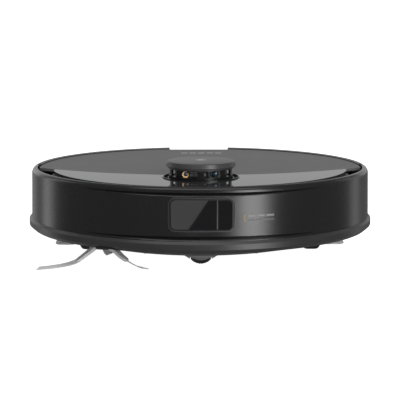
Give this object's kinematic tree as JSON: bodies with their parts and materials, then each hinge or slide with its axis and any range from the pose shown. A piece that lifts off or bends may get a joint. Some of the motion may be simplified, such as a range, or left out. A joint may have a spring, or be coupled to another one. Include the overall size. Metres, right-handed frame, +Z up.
{
  "type": "robot vacuum",
  "caption": "Round robot vacuum with a laser turret, sprung front bumper, side and roller brushes, sprung drive wheels, caster, pull-out rear tank and mop plate.",
  "frame": {"origin": "on the floor under the middle of the round body", "axes": "+Z up, +Y to the back where the tank comes out, +X to the right as seen from the front"},
  "size_m": [0.353, 0.353, 0.103],
  "materials": {
    "gloss_black": "high gloss",
    "satin_black": "satin",
    "matte_lid": "fine matte",
    "dark_frame": "moulded matte",
    "window_black": "polished",
    "lens_glass": "coated",
    "wheel_rubber": "moulded rubber",
    "roller_rubber": "soft rubber",
    "steel": "bright",
    "motor_can": "drawn",
    "contact_metal": "plated",
    "circuit_green": "solder mask",
    "battery_wrap": "film wrap",
    "belt_rubber": "ground",
    "gear_white": "acetal",
    "mop_fabric": "microfibre",
    "brush_grey": "flexible",
    "tank_plastic": "satin",
    "filter_paper": "pleated",
    "wheel_grey": "moulded"
  },
  "bodies": {
    "chassis": {"chassis_base": "dark_frame", "wheel_pins": "steel", "cliff_lenses": "lens_glass", "bottom_screws": "steel", "charging_contacts": "contact_metal", "battery_pack": "battery_wrap", "circuit_boards": "circuit_green", "wheel_housings": "dark_frame", "speaker": "dark_frame", "side_brush_motor": "motor_can", "rear_shell": "satin_black", "top_cover": "matte_lid", "front_panel": "gloss_black", "upper_frame": "dark_frame", "turret_base": "satin_black", "lidar_base": "dark_frame", "lidar_motor": "motor_can", "lidar_belt": "belt_rubber", "roller_motor": "motor_can", "brush_chamber": "dark_frame", "brush_guard": "dark_frame", "fan_housing": "wheel_grey"},
    "bumper": {"bumper_shell": "gloss_black", "sensor_bezel": "satin_black", "sensor_window": "window_black", "sensor_module": "dark_frame", "bumper_skirt": "satin_black"},
    "turret_cover": {"turret_cage": "gloss_black", "turret_cap": "satin_black"},
    "laser_head": {"lidar_head": "dark_frame", "laser_lens": "lens_glass", "receiver_lens": "lens_glass"},
    "laser_pulley": {"motor_pulley": "steel"},
    "home_key": {"home_button": "matte_lid"},
    "power_key": {"power_button": "matte_lid"},
    "spot_key": {"spot_button": "matte_lid"},
    "left_arm": {"left_wheel_arm": "wheel_grey"},
    "right_arm": {"right_wheel_arm": "wheel_grey"},
    "left_wheel": {"left_wheel_hub": "wheel_grey", "left_tyre": "wheel_rubber"},
    "right_wheel": {"right_wheel_hub": "wheel_grey", "right_tyre": "wheel_rubber"},
    "caster_swivel": {"caster_fork": "wheel_grey", "caster_axle": "steel"},
    "caster_roll": {"caster_wheel": "wheel_rubber"},
    "roller": {"roller_core": "brush_grey", "roller_fins": "roller_rubber", "roller_gear": "gear_white"},
    "idler": {"idler_gear": "gear_white"},
    "drive_pinion": {"motor_pinion": "gear_white"},
    "side_brush": {"side_brush_hub": "satin_black", "side_brush_arms": "brush_grey", "side_brush_screw": "steel"},
    "fan_rotor": {"fan_impeller": "wheel_grey"},
    "tank": {"tank_body": "tank_plastic", "tank_filter": "filter_paper", "tank_plug": "roller_rubber"},
    "tank_release": {"tank_latch": "satin_black"},
    "mop": {"mop_cloth": "mop_fabric", "mop_bracket": "brush_grey"}
  },
  "joints": [
    {"name": "bumper_press", "type": "slide", "parent": "chassis", "child": "bumper", "axis": [0, 1, 0], "range_m": [0, 0.003], "stiffness_N_per_m": 800, "springref_m": -0.002},
    {"name": "turret_press", "type": "slide", "parent": "chassis", "child": "turret_cover", "axis": [0, 0, -1], "range_m": [0, 0.0012], "stiffness_N_per_m": 1500, "springref_m": -0.002},
    {"name": "laser_spin", "type": "hinge", "parent": "chassis", "child": "laser_head", "pos_m": [0, -0.0906, 0.085], "axis": [0, 0, 1], "continuous": true},
    {"name": "laser_pulley_spin", "type": "hinge", "parent": "chassis", "child": "laser_pulley", "pos_m": [0.03111, -0.05949, 0.079], "axis": [0, 0, 1], "continuous": true},
    {"name": "home_press", "type": "slide", "parent": "chassis", "child": "home_key", "axis": [0, 0, -1], "range_m": [0, 0.0008], "stiffness_N_per_m": 600, "springref_m": -0.001},
    {"name": "power_press", "type": "slide", "parent": "chassis", "child": "power_key", "axis": [0, 0, -1], "range_m": [0, 0.0008], "stiffness_N_per_m": 600, "springref_m": -0.001},
    {"name": "spot_press", "type": "slide", "parent": "chassis", "child": "spot_key", "axis": [0, 0, -1], "range_m": [0, 0.0008], "stiffness_N_per_m": 600, "springref_m": -0.001},
    {"name": "left_suspension", "type": "hinge", "parent": "chassis", "child": "left_arm", "pos_m": [-0.112, 0.033, 0.05], "axis": [1, 0, 0], "range_deg": [0, 22], "stiffness_Nm_per_rad": 0.2, "springref_deg": 45.84},
    {"name": "right_suspension", "type": "hinge", "parent": "chassis", "child": "right_arm", "pos_m": [0.112, 0.033, 0.05], "axis": [1, 0, 0], "range_deg": [0, 22], "stiffness_Nm_per_rad": 0.2, "springref_deg": 45.84},
    {"name": "left_wheel_spin", "type": "hinge", "parent": "left_arm", "child": "left_wheel", "pos_m": [-0.115, -0.008, 0.035], "axis": [1, 0, 0], "continuous": true},
    {"name": "right_wheel_spin", "type": "hinge", "parent": "right_arm", "child": "right_wheel", "pos_m": [0.115, -0.008, 0.035], "axis": [1, 0, 0], "continuous": true},
    {"name": "caster_turn", "type": "hinge", "parent": "chassis", "child": "caster_swivel", "pos_m": [0, -0.088, 0.04], "axis": [0, 0, 1], "continuous": true},
    {"name": "caster_spin", "type": "hinge", "parent": "caster_swivel", "child": "caster_roll", "pos_m": [0, -0.088, 0.013], "axis": [1, 0, 0], "continuous": true},
    {"name": "roller_spin", "type": "hinge", "parent": "chassis", "child": "roller", "pos_m": [0, -0.012, 0.0215], "axis": [1, 0, 0], "continuous": true},
    {"name": "idler_spin", "type": "hinge", "parent": "chassis", "child": "idler", "pos_m": [-0.08975, -0.012, 0.0415], "axis": [1, 0, 0], "continuous": true},
    {"name": "pinion_spin", "type": "hinge", "parent": "chassis", "child": "drive_pinion", "pos_m": [-0.08975, -0.012, 0.0595], "axis": [1, 0, 0], "continuous": true},
    {"name": "side_brush_spin", "type": "hinge", "parent": "chassis", "child": "side_brush", "pos_m": [-0.095, -0.092, 0.018], "axis": [0, 0, 1], "continuous": true},
    {"name": "fan_spin", "type": "hinge", "parent": "chassis", "child": "fan_rotor", "pos_m": [0.048, -0.01, 0.06], "axis": [0, 0, 1], "continuous": true},
    {"name": "tank_slide", "type": "slide", "parent": "chassis", "child": "tank", "axis": [0, 1, 0], "range_m": [0, 0.16]},
    {"name": "tank_release_press", "type": "slide", "parent": "tank", "child": "tank_release", "axis": [0, 0, -1], "range_m": [0, 0.002], "stiffness_N_per_m": 600, "springref_m": -0.001},
    {"name": "mop_slide", "type": "slide", "parent": "chassis", "child": "mop", "axis": [0, 1, 0], "range_m": [0, 0.16]}
  ],
  "couplings": [
    {"joint": "laser_pulley_spin", "follows": "laser_spin", "ratio": 4.8},
    {"joint": "idler_spin", "follows": "roller_spin", "ratio": -0.47059},
    {"joint": "pinion_spin", "follows": "roller_spin", "ratio": 1.4545}
  ]
}
